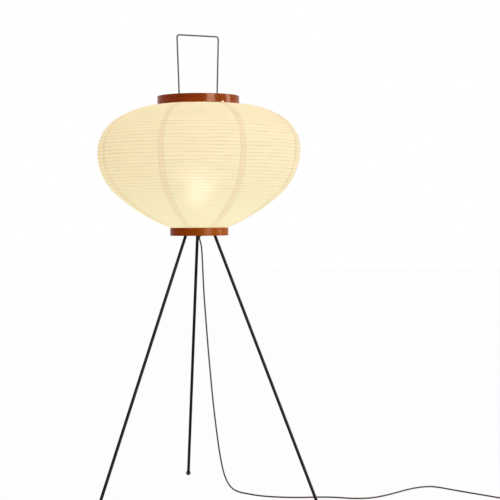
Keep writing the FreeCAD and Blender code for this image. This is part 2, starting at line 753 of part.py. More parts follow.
def switch_cover():
    """The upper half, with the rocker's opening and a lug at each side for its pivot."""
    top = 2 * SWITCH_HALF_H
    ceiling = top - SWITCH_WALL
    body = rounded_block(SWITCH_L, SWITCH_W, SWITCH_HALF_H, SWITCH_HALF_H, SWITCH_EDGE_R)
    body = body.cut(switch_cavity(SWITCH_HALF_H, ceiling - SWITCH_HALF_H))
    opening_w = ROCKER_W + 2 * ROCKER_GAP
    opening_l = 2 * (ROCKER_R + ROCKER_GAP)
    body = body.cut(block(opening_l, opening_w, SWITCH_WALL, 0, 0, ceiling))
    lug_z = ROCKER_PIVOT_Z - LUG_DROP
    for side in (1, -1):
        lug_y = side * (opening_w / 2 + LUG_W / 2)
        body = body.fuse(block(2 * LUG_HALF_L, LUG_W, ceiling - lug_z, 0, lug_y, lug_z))
    pin_hole = rocker_pin(PIN_R + FIT, LUG_W)
    return laid(body.cut(pin_hole).removeSplitter(), SWITCH_AT)


def rocker_pin(radius, reach):
    half = ROCKER_W / 2 + ROCKER_GAP + reach
    start = FreeCAD.Vector(0, -half, ROCKER_PIVOT_Z)
    return Part.makeCylinder(radius, 2 * half, start, FreeCAD.Vector(0, 1, 0))


def switch_rocker():
    """A rocker with a shallow valley across its top, tipped to one side."""
    rise = ROCKER_R * math.tan(math.radians(ROCKER_TILT))
    low = ROCKER_PIVOT_Z - ROCKER_BELOW_PIVOT
    valley = ROCKER_PIVOT_Z + ROCKER_ABOVE_PIVOT
    outline = [
        (-ROCKER_R, low),
        (ROCKER_R, low),
        (ROCKER_R, valley + rise),
        (0, valley),
        (-ROCKER_R, valley + rise),
    ]
    places = [FreeCAD.Vector(x, -ROCKER_W / 2, z) for x, z in outline]
    profile = Part.Face(Part.makePolygon(places + places[:1]))
    body = profile.extrude(FreeCAD.Vector(0, ROCKER_W, 0))
    centre = FreeCAD.Vector(0, -ROCKER_W / 2, ROCKER_PIVOT_Z)
    swing = Part.makeCylinder(ROCKER_R, ROCKER_W, centre, FreeCAD.Vector(0, 1, 0))
    rocker = body.common(swing).fuse(rocker_pin(PIN_R, PIN_REACH))
    rocker.rotate(FreeCAD.Vector(0, 0, ROCKER_PIVOT_Z), FreeCAD.Vector(0, 1, 0), ROCKER_TILT)
    return laid(rocker, SWITCH_AT)


def plug_blade_blocks():
    """The two flat blades, from inside the plug's body to their free ends."""
    length = BLADE_IN + BLADE_OUT
    centre_x = PLUG_L / 2 - BLADE_IN + length / 2
    low = (PLUG_H - BLADE_W) / 2
    sides = (-BLADE_SPACING / 2, BLADE_SPACING / 2)
    return [block(length, BLADE_T, BLADE_W, centre_x, y, low) for y in sides]


def plug_body():
    body = rounded_block(PLUG_L, PLUG_W, PLUG_H, 0, PLUG_EDGE_R)
    for blade in plug_blade_blocks():
        body = body.cut(blade)
    return laid(body, PLUG_AT)


def plug_blades():
    return laid(Part.makeCompound(plug_blade_blocks()), PLUG_AT)


# ---------------------------------------------------------------- all pieces
def shade_pieces():
    pieces = {f"paper_panel_{k + 1}": panel for k, panel in enumerate(paper_panels())}
    pieces["bamboo_ribs"] = bamboo_ribs()
    pieces["top_ring"] = top_ring()
    pieces["bottom_ring"] = bottom_ring()
    pieces["top_ring_wire_right"] = top_ring_wire(FRAME_TURN)
    pieces["top_ring_wire_left"] = top_ring_wire(FRAME_TURN + 180)
    pieces["wire_frame"] = wire_frame()
    pieces["upper_collars"] = wire_collars(UPPER_COLLAR_Z)
    pieces["lower_collars"] = wire_collars(BAR_TOP)
    pieces["shade_bar"] = shade_bar()
    pieces["bar_screws"] = bar_screws()
    return pieces


def stand_pieces():
    pieces = {"hub_plate": hub_plate(), "threaded_nipple": threaded_nipple()}
    pieces["lock_nut"] = lock_nut()
    pieces["lock_washer"] = lock_washer()
    for side, azimuth in LEG_AZIMUTHS.items():
        pieces[f"leg_sleeve_{side}"] = leg_sleeve(azimuth)
        pieces[f"leg_rod_{side}"] = leg_rod(azimuth)
        pieces[f"foot_{side}"] = rubber_foot(azimuth)
    return pieces


def light_pieces():
    return {
        "holder_cap": holder_cap(),
        "holder_shell": holder_shell(),
        "holder_core": holder_core(),
        "holder_screw_shell": holder_screw_shell(),
        "holder_tongue": holder_tongue(),
        "bulb_button": bulb_button(),
        "bulb_insulator": bulb_insulator(),
        "bulb_cap": bulb_cap(),
        "bulb_glass": bulb_glass(),
    }


def cord_pieces():
    return {
        "cord_gland": cord_gland(),
        "cord": cord_along(CORD_ROUTE, "cord"),
        "cord_coil": cord_coil(),
        "switch_lead": cord_along(SWITCH_LEAD_ROUTE, "switch lead"),
        "switch_base": switch_base(),
        "switch_cover": switch_cover(),
        "switch_rocker": switch_rocker(),
        "plug_lead": cord_along(PLUG_LEAD_ROUTE, "plug lead"),
        "plug_body": plug_body(),
        "plug_blades": plug_blades(),
    }


def main():
    os.makedirs("parts", exist_ok=True)
    pieces = {**shade_pieces(), **stand_pieces(), **light_pieces(), **cord_pieces()}
    for name, shape in pieces.items():
        if not shape.isValid():
            print("not valid:", name)
        shape.exportStep(f"parts/{name}.step")
    coiled = COIL_TURNS * 2 * math.pi * COIL_R
    print(f"{len(pieces)} pieces, coiled cord {coiled:.0f} mm")


if __name__ == "__main__":
    main()
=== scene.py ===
"""Looks of a paper lantern floor lamp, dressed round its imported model.

Size fields are in millimetres unless they say otherwise, and meshes are in metres. +Z is up,
and the rear leg stands along +Y.
"""

import logging
import math
from collections.abc import Callable, Iterator, Sequence
from contextlib import contextmanager
from dataclasses import dataclass
from enum import Enum
from typing import Any

import bpy
from bpy.types import ID, Material, Node, NodeSocket, NodeTree, Object, World
from mathutils import Matrix, Vector, noise

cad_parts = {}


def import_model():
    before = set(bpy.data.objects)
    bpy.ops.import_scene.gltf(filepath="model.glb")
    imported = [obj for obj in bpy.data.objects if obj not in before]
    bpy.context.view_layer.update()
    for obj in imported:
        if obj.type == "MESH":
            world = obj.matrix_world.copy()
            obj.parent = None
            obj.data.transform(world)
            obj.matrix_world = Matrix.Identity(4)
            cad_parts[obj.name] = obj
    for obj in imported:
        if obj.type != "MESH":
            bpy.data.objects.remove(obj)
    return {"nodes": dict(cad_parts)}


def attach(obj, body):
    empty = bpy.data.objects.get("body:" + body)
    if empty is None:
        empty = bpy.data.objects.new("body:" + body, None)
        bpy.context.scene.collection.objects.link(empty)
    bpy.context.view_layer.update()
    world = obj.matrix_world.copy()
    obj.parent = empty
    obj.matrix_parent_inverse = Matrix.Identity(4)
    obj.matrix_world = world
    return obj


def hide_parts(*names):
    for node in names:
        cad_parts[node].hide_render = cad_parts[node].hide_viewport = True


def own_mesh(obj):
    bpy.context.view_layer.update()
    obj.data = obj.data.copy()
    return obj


LOG = logging.getLogger("lantern")
MM = 0.001
LAMP = "lamp"
WHITE = (1.0, 1.0, 1.0, 1.0)
Place = tuple[float, float]
Point = tuple[float, float, float]


# ------------------------ shader steps
def linear(colour: str) -> tuple[float, float, float, float]:
    """Turns an sRGB hex colour to the linear values that a shader takes.

    Args:
        colour: A hash sign and six hex digits.

    Returns:
        Red, green and blue, and an alpha of 1.
    """
    channels = [int(colour[i : i + 2], 16) / 255 for i in (1, 3, 5)]
    red, green, blue = [
        c / 12.92 if c <= 0.04045 else ((c + 0.055) / 1.055) ** 2.4 for c in channels
    ]
    return red, green, blue, 1.0


def per(size: float) -> float:
    """The texture scale at which one feature of a pattern is this many millimetres."""
    return 1.0 / (size * MM)


def fill(node: Node, inputs: dict[str | int, Any]) -> None:
    """Fills or links a node's inputs.

    Args:
        node: The node.
        inputs: A value, a node or one of its outputs for each named or numbered input. A node
            stands for its first output.
    """
    for name, value in inputs.items():
        value = value.outputs[0] if isinstance(value, Node) else value
        if isinstance(value, NodeSocket):
            node.id_data.links.new(value, node.inputs[name])
        else:
            node.inputs[name].default_value = value


def add_node(
    tree: NodeTree, kind: str, inputs: dict[str | int, Any] | None = None, **settings: Any
) -> Node:
    """Adds a shader node with its settings and links.

    Args:
        tree: The node tree that gets it.
        kind: The node's type, without the ShaderNode in front.
        inputs: What its inputs are filled or linked with.
        settings: Its properties.

    Returns:
        The new node.
    """
    node = tree.nodes.new("ShaderNode" + kind)
    for name, value in settings.items():
        setattr(node, name, value)
    fill(node, inputs or {})
    return node


def emptied(owner: Material | World) -> NodeTree:
    """Turns on a material's or world's nodes, and returns their tree with nothing in it."""
    owner.use_nodes = True
    owner.node_tree.nodes.clear()
    return owner.node_tree


def blank_finish(name: str) -> tuple[Material, NodeTree, Node, NodeSocket]:
    """Starts a material that has a plain surface shader and nothing else.

    Args:
        name: The material's name.

    Returns:
        The material, its node tree, its surface shader and the place on the piece.
    """
    material = bpy.data.materials.new(name)
    tree = emptied(material)
    surface = add_node(tree, "BsdfPrincipled")
    add_node(tree, "OutputMaterial", {"Surface": surface})
    return material, tree, surface, add_node(tree, "TexCoord").outputs["Object"]


# ------------------------ modelling steps
def clear_selection() -> None:
    """Deselects every object, because an operator acts on all that is selected."""
    bpy.ops.object.select_all(action="DESELECT")


def take(*pieces: Object) -> None:
    """Selects these pieces alone, the first of them active."""
    clear_selection()
    for piece in pieces:
        piece.select_set(True)
    bpy.context.view_layer.objects.active = pieces[0]


@contextmanager
def editing(piece: Object) -> Iterator[None]:
    """Opens a piece in edit mode with all of it selected, and closes it after."""
    take(piece)
    bpy.ops.object.mode_set(mode="EDIT")
    bpy.ops.mesh.select_all(action="SELECT")
    yield
    bpy.ops.object.mode_set(mode="OBJECT")


def started(name: str, primitive: Callable[..., Any], **settings: Any) -> Object:
    """Adds a primitive with nothing else selected, names it and returns it."""
    clear_selection()
    primitive(**settings)
    piece = bpy.context.object
    piece.name = piece.data.name = name
    return piece


def placed(name: str, data: ID) -> Object:
    """Puts an object with this mesh, curve, lamp or camera in the scene, and returns it."""
    thing = bpy.data.objects.new(name, data)
    bpy.context.scene.collection.objects.link(thing)
    return thing


def drawn(
    name: str, kind: str, points: Sequence[Sequence[float]], radius: float, roundness: int
) -> Object:
    """Draws a round strand along points, closed at both ends.

    Args:
        name: The piece's name.
        kind: NURBS for a smooth strand, POLY for a straight run from point to point.
        points: Where it goes, in metres.
        radius: Of the strand.
        roundness: How finely its section is divided.

    Returns:
        The curve.
    """
    data = bpy.data.curves.new(name, "CURVE")
    data.dimensions = "3D"
    data.bevel_depth = radius * MM
    data.bevel_resolution = roundness
    data.use_fill_caps = True
    spline = data.splines.new(kind)
    spline.points.add(len(points) - 1)
    for control, point in zip(spline.points, points):
        control.co = (*point, 1.0)
    return placed(name, data)


def smooth(piece: Object, degrees: float = 35.0) -> None:
    """Shades a piece smooth, apart from the edges sharper than an angle."""
    take(piece)
    bpy.ops.object.shade_smooth_by_angle(angle=math.radians(degrees))


def modify(piece: Object, kind: str, **settings: Any) -> None:
    """Adds a modifier with its settings and applies it."""
    take(piece)
    modifier = piece.modifiers.new(kind.lower(), kind)
    for name, value in settings.items():
        setattr(modifier, name, value)
    bpy.ops.object.modifier_apply(modifier=modifier.name)


def copied(piece: Object, name: str, move: Matrix) -> Object:
    """Copies a piece with a mesh of its own.

    Args:
        piece: The finished piece.
        name: The copy's name.
        move: Where the copy's mesh goes, from the piece's place.

    Returns:
        The copy.
    """
    twin = placed(name, piece.data.copy())
    twin.data.name = name
    twin.data.transform(move)
    return twin


def spun(name: str, outline: Sequence[Place], steps: int) -> Object:
    """Turns a closed half section round the Z axis, as on a lathe.

    Args:
        name: The piece's name.
        outline: Radius and height of each corner.
        steps: How many faces go round.

    Returns:
        The closed piece.
    """
    circle = bpy.ops.mesh.primitive_circle_add
    piece = started(name, circle, vertices=len(outline), fill_type="NOTHING")
    for vertex, (radius, height) in zip(piece.data.vertices, outline):
        vertex.co = (radius * MM, 0.0, height * MM)
    with editing(piece):
        bpy.ops.mesh.spin(steps=steps, angle=math.tau, center=(0, 0, 0), axis=(0, 0, 1))
        bpy.ops.mesh.select_all(action="SELECT")
        bpy.ops.mesh.remove_doubles(threshold=0.01 * MM)
        bpy.ops.mesh.normals_make_consistent(inside=False)
    return piece


def fitted(
    piece: Object, material: Material, nodes: Sequence[str] = (), body: str = LAMP
) -> Object:
    """Gives a finished piece its material and its place in the moving model.

    Args:
        piece: The piece.
        material: What it is made of.
        nodes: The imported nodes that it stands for.
        body: The moving body that it rides on.

    Returns:
        The piece.
    """
    piece.data.materials.clear()
    piece.data.materials.append(material)
    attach(piece, body)
    if nodes:
        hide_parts(*nodes)
    LOG.info("%s on %s", piece.name, body)
    return piece


def painted(nodes: Sequence[str], material: Material) -> None:
    """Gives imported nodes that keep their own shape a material."""
    for name in nodes:
        for slot in FRAME["nodes"][name].material_slots:
            slot.material = material
        LOG.info("%s painted with %s", name, material.name)


# ------------------------ finishes
@dataclass(frozen=True)
class Finish:
    """A material of even make-up, whose colour, gloss and surface vary a little.

    Attributes:
        name: What the material is and how its surface was made.
        light: Its lighter colour, in sRGB hex.
        dark: Its darker colour.
        patch: Size of the patches of colour.
        gloss: Roughness from the shiniest to the dullest place.
        grain: Size of the surface grain.
        relief: Height of the grain.
        stretch: How much longer patches and grain are along X, Y and Z.
        metallic: 1 for bare metal.
        specular: Level of the surface reflection, 0.5 for most plastics and glass.
        glow: Strength of its own light, in its lighter colour.
    """

    name: str
    light: str
    dark: str
    patch: float
    gloss: tuple[float, float]
    grain: float
    relief: float
    stretch: Point = (1.0, 1.0, 1.0)
    metallic: float = 0.0
    specular: float = 0.5
    glow: float = 0.0

    def material(self) -> Material:
        """Builds the material, with patterns that stay on the piece."""
        material, tree, surface, place = blank_finish(self.name)
        shrink = tuple(1.0 / s for s in self.stretch)
        place = add_node(tree, "Mapping", {"Vector": place, "Scale": shrink})
        patch_inputs = {"Vector": place, "Scale": per(self.patch), "Detail": 3.0, "Roughness": 0.55}
        patches = add_node(tree, "TexNoise", patch_inputs)
        share_inputs = {"Value": patches, "From Min": 0.35, "From Max": 0.65}
        share = add_node(tree, "MapRange", share_inputs)
        colours = {0: share, 6: linear(self.dark), 7: linear(self.light)}
        gloss_inputs = {"Value": patches, "From Min": 0.3, "From Max": 0.7}
        gloss_inputs |= {"To Min": self.gloss[0], "To Max": self.gloss[1]}
        grain_inputs = {"Vector": place, "Scale": per(self.grain), "Detail": 2.0}
        grain = add_node(tree, "TexNoise", grain_inputs)
        bump_inputs = {"Height": grain, "Distance": self.relief * MM}
        looks = {
            "Base Color": add_node(tree, "Mix", colours, data_type="RGBA").outputs[2],
            "Roughness": add_node(tree, "MapRange", gloss_inputs),
            "Normal": add_node(tree, "Bump", bump_inputs),
            "Metallic": self.metallic,
            "Specular IOR Level": self.specular,
        }
        if self.glow:
            looks |= {"Emission Color": linear(self.light), "Emission Strength": self.glow}
        fill(surface, looks)
        return material


# Mild steel rod under black stove enamel: nearly black, with the faint orange peel that
# spraying leaves.
STOVE_ENAMEL = Finish(
    "black_stove_enamel",
    "#1B1711",
    "#110E0A",
    30.0,
    (0.4, 0.55),
    1.4,
    0.03,
    (1, 1, 3),
    specular=0.06,
)
# Hard drawn steel wire, blued and oiled: dark grey with a dull sheen, and drawing lines along it.
DRAWN_STEEL = Finish(
    "blued_steel_wire", "#2F2D29", "#211F1C", 9.0, (0.4, 0.5), 0.5, 0.015, (1, 1, 12), specular=0.3
)
# Zinc plated strip and fasteners: pale blue-grey crystals, rather dull.
ZINC_PLATE = Finish(
    "zinc_plated_steel", "#B9BCBD", "#93979A", 2.5, (0.3, 0.45), 0.4, 0.012, metallic=1.0
)
# Vulcanised rubber, moulded: black with a grey bloom, very matt.
MOULDED_RUBBER = Finish(
    "moulded_black_rubber", "#262320", "#171513", 4.0, (0.7, 0.85), 0.35, 0.03, specular=0.25
)
# Phenolic resin, compression moulded: deep brown-black and glossy off the tool.
PHENOLIC = Finish("moulded_phenolic", "#231C18", "#15110F", 8.0, (0.18, 0.28), 0.9, 0.01)
# Steatite porcelain with a thin white glaze.
GLAZED_STEATITE = Finish("glazed_steatite", "#E9E6DC", "#DAD5C8", 5.0, (0.12, 0.2), 1.5, 0.015)
# Rolled brass strip, a little tarnished where it was handled.
ROLLED_BRASS = Finish(
    "rolled_brass", "#D2A75A", "#A97F3C", 3.0, (0.22, 0.38), 0.3, 0.01, (4, 1, 1), metallic=1.0
)
# Lead-free solder, set with a dull skin.
SOLDER = Finish("set_solder", "#A7A8A6", "#848583", 1.5, (0.4, 0.55), 0.4, 0.02, metallic=1.0)
# Vitrite, the dark glass that insulates a bulb's contact.
VITRITE = Finish("vitrite_glass", "#1B1A20", "#0F0F14", 4.0, (0.08, 0.15), 1.0, 0.008)
# Nickel-plated brass, pressed with a rolled thread.
NICKEL_PLATE = Finish(
    "nickel_plated_cap", "#C9C7C0", "#A9A69E", 3.0, (0.22, 0.34), 0.4, 0.01, metallic=1.0
)
# Bulb glass with a white silica coat inside, lit: cool white all over.
OPAL_GLASS = Finish(
    "lit_opal_glass", "#F4F7FF", "#E8EEFB", 25.0, (0.12, 0.18), 3.0, 0.004, glow=18.0
)
# Plasticised PVC sheath, extruded: dark brown with a soft sheen.
PVC_SHEATH = Finish(
    "extruded_pvc_sheath", "#4C392C", "#392A20", 14.0, (0.45, 0.6), 0.7, 0.012, specular=0.22
)
# ABS, injection moulded with a fine spark-eroded texture: dark brown and satin.
MOULDED_ABS = Finish(
    "moulded_abs", "#3B302A", "#2F2621", 10.0, (0.42, 0.52), 0.45, 0.02, specular=0.35
)
# The same plastic out of a polished mould: nearly black and glossy.
POLISHED_ABS = Finish("polished_abs", "#1E1916", "#16120F", 10.0, (0.14, 0.22), 0.9, 0.006)


class HoopTone(Enum):
    """The two hoops, stained a little differently: ground, figure, pores, and a painted lighter
    tone for the lit side.
    """

    TOP = ("#7C2700", "#8C3300", "#641C00", "#A84806")
    BOTTOM = ("#7E2B00", "#943D00", "#672200", "#C76408")


@dataclass(frozen=True)
class VarnishedBentwood:
    """Beech strip, steamed and bent, stained red-brown under brushed gloss varnish.

    The grain runs round the hoop in fine lines, and the varnish gives sharp streaks of light.

    Attributes:
        tone: Which of the two stains.
        line: Distance between the grain's lines.
        run: How far a line runs round the hoop.
        figure: Size of the broad lighter and darker bands.
        gloss: Roughness of the varnish on the wood's ridges and in its pores.
        relief: Height of the grain under the varnish.
        shine: Level of the varnish's reflection, kept low so that the stain stays deep.
        amber: Tint that the varnish gives its reflection.
        painted_lit_side: Places along X over which the hoop is painted lighter, as on the side the
            light falls on.
    """

    tone: HoopTone
    line: float = 1.3
    run: float = 70.0
    figure: float = 7.0
    gloss: tuple[float, float] = (0.12, 0.2)
    relief: float = 0.02
    shine: float = 0.1
    amber: str = "#FFE7C4"
    painted_lit_side: Place = (-60.0, 90.0)

    def material(self) -> Material:
        """Builds the material."""
        name = f"varnished_bentwood_{self.tone.name.lower()}"
        material, tree, surface, place = blank_finish(name)
        wood, figure, pore, lit_side_tone = (linear(colour) for colour in self.tone.value)
        lines = self._pattern(tree, place, self.line, 3.0)
        bands = self._pattern(tree, place, self.figure, 2.0)
        across = add_node(tree, "SeparateXYZ", {0: place})
        low, high = (side * MM for side in self.painted_lit_side)
        # The second mix is painted light: the hoop is lighter towards +X, on the side that the
        # light falls on.
        for colour, spread in (
            (figure, {"Value": bands, "From Min": 0.4, "From Max": 0.65}),
            (lit_side_tone, {"Value": across, "From Min": low, "From Max": high}),
            (pore, {"Value": lines, "From Min": 0.5, "From Max": 0.3, "To Max": 0.75}),
        ):
            share = add_node(tree, "MapRange", spread)
            stain = {0: share, 6: wood, 7: colour}
            wood = add_node(tree, "Mix", stain, data_type="RGBA").outputs[2]
        gloss_inputs = {"Value": lines, "To Min": self.gloss[1], "To Max": self.gloss[0]}
        bump_inputs = {"Height": lines, "Distance": self.relief * MM}
        looks = {
            "Base Color": wood,
            "Roughness": add_node(tree, "MapRange", gloss_inputs),
            "Normal": add_node(tree, "Bump", bump_inputs),
            "Specular IOR Level": self.shine,
            "Specular Tint": linear(self.amber),
        }
        fill(surface, looks)
        return material

    def _pattern(self, tree: NodeTree, place: NodeSocket, size: float, detail: float) -> Node:
        """Adds a noise that is long round the hoop and short up it.

        Args:
            tree: The material's nodes.
            place: Where on the piece.
            size: Of its features up the hoop.
            detail: How much finer noise it holds.

        Returns:
            The noise.
        """
        stretched = {"Vector": place, "Scale": (per(self.run), per(self.run), per(size))}
        where = add_node(tree, "Mapping", stretched)
        noise_inputs = {"Vector": where, "Scale": 1.0, "Detail": detail}
        return add_node(tree, "TexNoise", noise_inputs)


@dataclass(frozen=True)
class WashiPaper:
    """Mulberry paper, handmade, pasted over the ribs and lit from inside.

    Long fibres and cloudy thickness show against the light, each rib's shadow is painted as a
    soft dark line, and the laps of the seams are a shade greyer. The painted shadow lines are
    about 3 mm wide, over twice the rib, to show.

    Attributes:
        face: Colour of the paper by itself.
        seam_face: Its colour where it is double.
        glow_near: Light through the paper next to the bulb.
        glow_far: Light through it far from the bulb.
        bulb: Where the bulb's light comes from.
        reach: Distance from the bulb over which the light fades.
        fibre: Size of the fibres.
        cloud: Size of the thicker and thinner patches.
        tooth: Size of the fine unevenness that is felt.
        relief: Height of the tooth.
        rib_shadow_depth: How much a rib's painted shadow darkens the paper.
        rib_shadow_tint: How much of that painted shadow red, green and blue get.
        rib_shadow_edge: How near the rib a painted shadow line starts, from -1 between two ribs to
            1 on a rib.
        seam_depth: How much a lap darkens it.
        cloud_depth: How much the thickest patch does.
        strand_depth: How much the thickest fibres do.
        clearness: Share of the light that comes straight through.
    """

    face: str = "#E7E0D2"
    seam_face: str = "#E0D6C9"
    glow_near: str = "#A59C6E"
    glow_far: str = "#98824A"
    bulb: Point = (0.0, 0.0, 827.0)
    reach: tuple[float, float] = (130.0, 290.0)
    fibre: float = 3.0
    cloud: float = 26.0
    tooth: float = 0.9
    relief: float = 0.05
    rib_shadow_depth: float = 0.115
    rib_shadow_tint: Point = (1.6, 1.0, 1.35)
    rib_shadow_edge: float = 0.35
    seam_depth: float = 0.075
    cloud_depth: float = 0.07
    strand_depth: float = 0.05
    clearness: float = 0.16

    def material(self) -> Material:
        """Builds the material, which reads the ribs and laps from the mesh's own attributes."""
        material, tree, surface, place = blank_finish("lit_washi_paper")
        lap = add_node(tree, "Attribute", attribute_name="lap").outputs["Fac"]
        where = tuple(v * MM for v in self.bulb)
        away = add_node(tree, "VectorMath", {0: place, 1: where}, operation="DISTANCE")
        near_inputs = {"Value": away.outputs["Value"]}
        near_inputs |= {"From Min": self.reach[1] * MM, "From Max": self.reach[0] * MM}
        near = add_node(tree, "MapRange", near_inputs)
        shade = self._rib_shadows_and_tone(tree, place, lap)
        looks = {}
        # The emission is painted light, the bulb's glow through the paper, brighter nearer the
        # bulb; it and the face both take the ribs' painted shadows.
        for target, share, first, second in (
            ("Base Color", lap, self.face, self.seam_face),
            ("Emission Color", near, self.glow_far, self.glow_near),
        ):
            pair = {0: share, 6: linear(first), 7: linear(second)}
            mixed = add_node(tree, "Mix", pair, data_type="RGBA")
            darkened = {0: 1.0, 6: mixed.outputs[2], 7: shade}
            product = add_node(tree, "Mix", darkened, data_type="RGBA", blend_type="MULTIPLY")
            looks[target] = product.outputs[2]
        tooth_inputs = {"Vector": place, "Scale": per(self.tooth), "Detail": 3.0}
        tooth = add_node(tree, "TexNoise", tooth_inputs)
        bump_inputs = {"Height": tooth, "Distance": self.relief * MM}
        looks["Normal"] = add_node(tree, "Bump", bump_inputs)
        looks |= {"Emission Strength": 1.0, "Transmission Weight": self.clearness}
        # Fibres scatter light and don't gloss, so the index is close to that of air.
        looks |= {"IOR": 1.12, "Roughness": 0.7, "Specular IOR Level": 0.05}
        fill(surface, looks)
        return material

    def _rib_shadows_and_tone(self, tree: NodeTree, place: NodeSocket, lap: NodeSocket) -> Node:
        """Adds what darkens the paper: the ribs' painted shadows, and the seams, fibres and clouds.

        Args:
            tree: The material's nodes.
            place: Where on the piece.
            lap: How strongly a lap shows there.

        Returns:
            A colour to multiply the paper with.
        """
        # Each rib's painted shadow: a soft dark line where the rib lies behind the paper.
        ribs = add_node(tree, "Attribute", attribute_name="rib").outputs["Fac"]
        turn = add_node(tree, "Math", {0: ribs, 1: math.tau}, operation="MULTIPLY")
        wave = add_node(tree, "Math", {0: turn}, operation="COSINE")
        rib_shadow_inputs = {"Value": wave, "From Min": self.rib_shadow_edge, "To Max": self.rib_shadow_depth}
        line = add_node(tree, "MapRange", rib_shadow_inputs, interpolation_type="SMOOTHSTEP")
        strength = add_node(tree, "Attribute", attribute_name="shadow").outputs["Fac"]
        line = add_node(tree, "Math", {0: line, 1: strength}, operation="MULTIPLY")
        cloud_inputs = {"Vector": place, "Scale": per(self.cloud), "Detail": 4.0, "Roughness": 0.6}
        cloud = add_node(tree, "TexNoise", cloud_inputs)
        cloud = add_node(tree, "MapRange", {"Value": cloud, "To Max": self.cloud_depth})
        fibre_inputs = {"Vector": place, "Scale": per(self.fibre), "Detail": 2.0, "Distortion": 2.5}
        fibre = add_node(tree, "TexNoise", fibre_inputs)
        strand_inputs = {"Value": fibre, "From Min": 0.62, "From Max": 0.72}
        strand = add_node(tree, "MapRange", strand_inputs | {"To Max": self.strand_depth})
        total = add_node(tree, "Math", {0: lap, 1: self.seam_depth}, operation="MULTIPLY")
        for part in (cloud, strand):
            total = add_node(tree, "Math", {0: total, 1: part})
        plain = add_node(tree, "Math", {0: 1.0, 1: total}, operation="SUBTRACT")
        channels = {}
        for channel, tint in enumerate(self.rib_shadow_tint):
            lost = {0: line, 1: -tint, 2: plain}
            channels[channel] = add_node(tree, "Math", lost, operation="MULTIPLY_ADD")
        return add_node(tree, "CombineColor", channels)


# Polyamide hook tape, woven: black and matt, with the weave drawn at three times its thread,
# to show.
WOVEN_TAPE = Finish(
    "woven_hook_tape", "#2B2A2C", "#171618", 1.2, (0.7, 0.9), 0.9, 0.12, (1, 1, 1), specular=0.2
)
# Split bamboo, scraped square: straw yellow with long darker strands.
SPLIT_BAMBOO = Finish(
    "split_bamboo", "#C9A56B", "#A27C45", 8.0, (0.5, 0.65), 0.6, 0.03, specular=0.3
)


# ------------------------ studio
@dataclass(frozen=True)
class SoftBox:
    """A rectangular light that faces the lamp.

    Attributes:
        name: Its name.
        bearing: How far from -Y towards +X it stands, in degrees.
        distance: From the lamp's axis.
        height: Of its middle.
        size: Its width and height.
        power: In watts.
        colour: Of its light.
        streaks_only: Whether only gloss shows it, for a streak on the varnish.
    """

    name: str
    bearing: float
    distance: float
    height: float
    size: Place
    power: float
    colour: Point = (1.0, 1.0, 1.0)
    streaks_only: bool = False

    def hang(self, aim_height: float) -> None:
        """Hangs it, turned to this height on the lamp's axis."""
        data = bpy.data.lights.new(self.name, "AREA")
        data.color = self.colour
        data.shape = "RECTANGLE"
        data.size, data.size_y = (s * MM for s in self.size)
        data.energy = self.power
        box = placed(self.name, data)
        angle = math.radians(self.bearing)
        side, front = math.sin(angle) * self.distance, -math.cos(angle) * self.distance
        spot = Vector((side, front, self.height)) * MM
        turn = (Vector((0.0, 0.0, aim_height * MM)) - spot).to_track_quat("-Z", "Y")
        box.matrix_world = Matrix.Translation(spot) @ turn.to_matrix().to_4x4()
        box.visible_diffuse = not self.streaks_only


